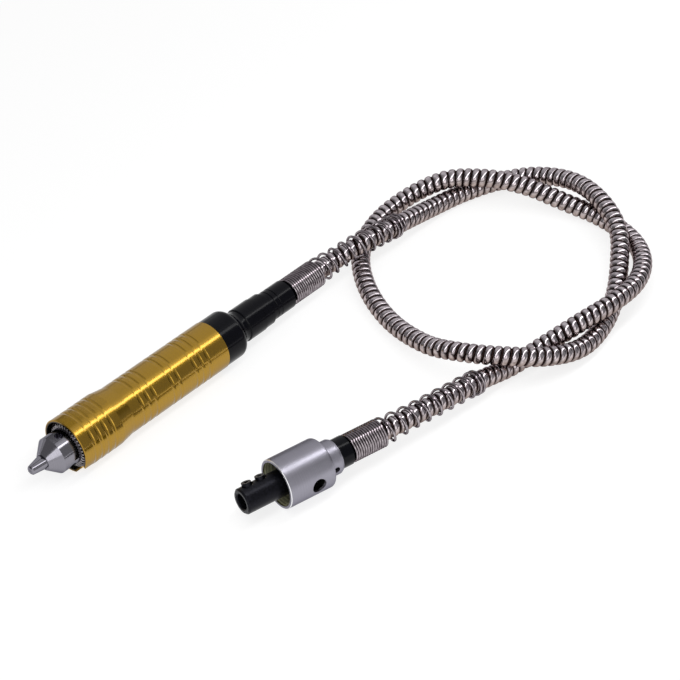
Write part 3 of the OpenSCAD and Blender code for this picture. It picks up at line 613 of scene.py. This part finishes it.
dress(GOLD, "grip_sleeve")
dress(BLACK, "rear_cap", "lock_collar", "handle_ferrule", "coupling_ferrule")
dress(HOUSING, "coupling_housing")
dress(OXIDE, "drive_socket", "socket_screws", "ferrule_screw")
dress(CHUCK, "chuck_body", "chuck_nut", "jaw_1", "jaw_2", "jaw_3")
dress(RING, "chuck_ring")
dress(SPINDLE, "spindle", "front_outer_race", "front_inner_race", "front_balls",
      "rear_outer_race", "rear_inner_race", "rear_balls")
dress(BEARING, "coupling_outer_race", "coupling_inner_race", "coupling_balls")
dress(BRASS, "front_cage", "rear_cage", "coupling_cage")
dress(SPACER, "outer_spacer", "inner_spacer")
dress(BLUED, "spindle_circlip", "socket_circlip")
dress(TWISTED, "core_key", "drive_core")


# ---------------------------------------------------------------- hose and springs

def make_core():
    """The drive core's outer layer: eight wires side by side, 16 mm to a turn."""
    tree, sockets = hose_tree(TWISTED)
    sizes = {**HOSE_SIZES, "Rings": 900, "Sides": 40, "Starts": 8.0, "Pitch": 16 * MM,
             "Core radius": 1.5 * MM, "Rib height": 0.38 * MM, "Rib share": 0.98}
    core = grow("twisted_core", CORE_LINE, tree, sockets, sizes, TWISTED)
    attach(core, "casing")
    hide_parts("drive_core")
    return core


def make_hose(core):
    """The ribbed hose, which holds the drive core."""
    tree, sockets = hose_tree(HOSE_WIRE)
    hose = grow("wound_hose", HOSE_LINE, tree, sockets, HOSE_SIZES, HOSE_WIRE)
    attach(hose, "casing")
    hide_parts("sheath")


SPIGOT = 6 * MM              # how far a ferrule's spigot reaches into its spring
FIRST_TURN = 0.7 * MM        # from the spigot's shoulder to the middle of the first turn


def make_springs():
    """The two strain-relief springs, each from its ferrule's spigot along the hose."""
    tree, sockets = spring_tree(SPRING_WIRE)
    seat = TAIL - SPIGOT + FIRST_TURN
    whole = length_of(GUIDE_LINE)
    for node, sizes in (
            ("handle_spring", {"Start": seat, "Way": 1.0, "Tight turns": 15,
                               "Open turns": 9, "Open pitch": 5.9 * MM, "Seed": 3}),
            ("coupling_spring", {"Start": whole - seat, "Way": -1.0, "Tight turns": 14,
                                 "Open turns": 8, "Open pitch": 7.3 * MM, "Seed": 8})):
        spring = grow(node + "_wire", GUIDE_LINE, tree, sockets, {**SPRING_SIZES, **sizes},
                      SPRING_WIRE)
        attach(spring, "casing")
        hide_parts(node)


make_hose(make_core())
make_springs()


# ---------------------------------------------------------------- floor, cards and lights

def seen_rays(tree):
    """1 for camera, glossy and transmission rays, so that metal shows the same white."""
    rays = add(tree, "ShaderNodeLightPath").outputs
    seen = math_out(tree, "MAXIMUM", rays["Is Camera Ray"], rays["Is Glossy Ray"])
    return math_out(tree, "MAXIMUM", seen, rays["Is Transmission Ray"])


def set_world():
    """White all round, less of it for the light that falls on things."""
    world = bpy.data.worlds.new("studio")
    bpy.context.scene.world = world
    world.use_nodes = True
    tree = world.node_tree
    tree.nodes.clear()
    strength = ramp(tree, seen_rays(tree), 0, 1, 0.55, 1.0)
    light = add(tree, "ShaderNodeBackground", {"Color": (1, 1, 1, 1), "Strength": strength})
    add(tree, "ShaderNodeOutputWorld", {"Surface": light.outputs[0]})


def plate(name, corners):
    """One flat face that belongs to the stage."""
    mesh = bpy.data.meshes.new(name)
    mesh.from_pydata(corners, [], [tuple(range(len(corners)))])
    made = bpy.data.objects.new(name, mesh)
    bpy.context.collection.objects.link(made)
    return made


FLOOR_REACH = 6              # how far the floor goes each way from the middle


def make_floor():
    """A pale floor: white paper that still takes the object's shadow."""
    floor = plate("floor", [(FLOOR_REACH * x, FLOOR_REACH * y, 0)
                            for x, y in ((-1, -1), (1, -1), (1, 1), (-1, 1))])
    made, tree = bare_material("white paper")
    paper = add(tree, "ShaderNodeBsdfDiffuse", {"Color": (0.3, 0.3, 0.3, 1)})
    glow = add(tree, "ShaderNodeEmission", {"Color": (1, 1, 1, 1), "Strength": ramp(
        tree, seen_rays(tree), 0, 1, 0.25, 0.78)})
    both = add(tree, "ShaderNodeAddShader", {0: paper.outputs[0], 1: glow.outputs[0]})
    add(tree, "ShaderNodeOutputMaterial", {"Surface": both.outputs[0]})
    floor.data.materials.append(made)


def make_card(name, corners, level):
    """A card that only reflections see: dark cards shape the metal, and none lights it."""
    card = plate(name, corners)
    made, tree = bare_material(name)
    glow = add(tree, "ShaderNodeEmission", {"Color": (1, 1, 1, 1), "Strength": level})
    add(tree, "ShaderNodeOutputMaterial", {"Surface": glow.outputs[0]})
    card.data.materials.append(made)
    card.visible_camera = card.visible_diffuse = False
    card.visible_shadow = card.visible_transmission = False


def make_lamp(name, at, aim, size, radiance):
    """A soft box of an even radiance, whatever its size."""
    data = bpy.data.lights.new(name, "AREA")
    data.shape, data.size, data.size_y = "RECTANGLE", size[0], size[1]
    data.energy = radiance * math.pi * size[0] * size[1]
    lamp = bpy.data.objects.new(name, data)
    lamp.location = at
    lamp.rotation_mode = "QUATERNION"
    lamp.rotation_quaternion = (Vector(aim) - Vector(at)).to_track_quat("-Z", "Y")
    lamp.visible_camera = False
    bpy.context.collection.objects.link(lamp)


TOP, SIDE = 1.25, -0.9       # height of the cards overhead, and the plane of those in front
TUNNEL_AWAY, TUNNEL_UP = 0.2, 0.015      # radius of the tunnel of cards, and its axis's height
TUNNEL_FROM, TUNNEL_TURN = 8, 26.5       # degrees from upright to it, and across each card


def overhead(name, x0, x1, y0, y1, level):
    """A card that lies level over the object."""
    make_card(name, [(x0, y0, TOP), (x1, y0, TOP), (x1, y1, TOP), (x0, y1, TOP)], level)


def upright(name, x0, x1, z0, z1, level, y=SIDE):
    """A card that stands upright in front of the object, or behind it."""
    make_card(name, [(x0, y, z0), (x1, y, z0), (x1, y, z1), (x0, y, z1)], level)


set_world()
make_floor()
overhead("grey ceiling card", 0.2, 4.0, 0.0, 5.0, 0.76)
overhead("middle ceiling card", -0.5, 0.2, 0.0, 5.0, 0.5)
overhead("dark ceiling card", -3.0, -0.5, 0.0, 5.0, 0.25)
overhead("dark front ceiling card", -0.2, 4.0, SIDE, -0.3, 0.36)
upright("dark side card", -0.12, 1.0, 0.07, TOP, 0.34)
upright("black side card", 1.0, 4.0, 0.02, TOP, 0.12)
upright("light line card", 0.3, 0.65, 0.0, 0.07, 1.8)
make_card("light table card", [(-0.05, -0.1, 0.0005), (0.11, -0.1, 0.0005),
                               (0.6, SIDE, 0.0005), (0.35, SIDE, 0.0005)], 1.3)
upright("groove light card", -1.0, -0.12, 0.22, 0.8, 2.0)
upright("dark far card", -3.0, 4.0, 0.0, 0.45, 0.55, 2.2)
make_card("chuck light card", [(-1.0, -0.07, 0.66), (-1.0, -0.6, 0.21), (-1.0, -0.72, 0.35),
                               (-1.0, -0.19, 0.8)], 2.4)
make_card("dark left card", [(-1.6, -0.2, 0.2), (-1.6, 3.0, 0.2), (-1.6, 3.0, TOP),
                             (-1.6, -0.2, TOP)], 0.25)
# a dark half tunnel, in three cards, that only the chuck's body and cone see
for k in range(3):
    near, far = (math.radians(TUNNEL_FROM + TUNNEL_TURN * i) for i in (k, k + 1))
    make_card(f"dark tunnel card {k}", [
        (x, HANDLE_AXIS_AT.y + TUNNEL_AWAY * math.sin(turn),
         TUNNEL_UP + TUNNEL_AWAY * math.cos(turn))
        for x, turn in ((-0.02, near), (0.002, near), (0.002, far), (-0.02, far))], 0.2)
make_lamp("strip box", (0.25, -0.078, 0.32), (0.25, -0.078, 0), (1.4, 0.065), 4.6)

bpy.context.scene.view_settings.view_transform = "Standard"
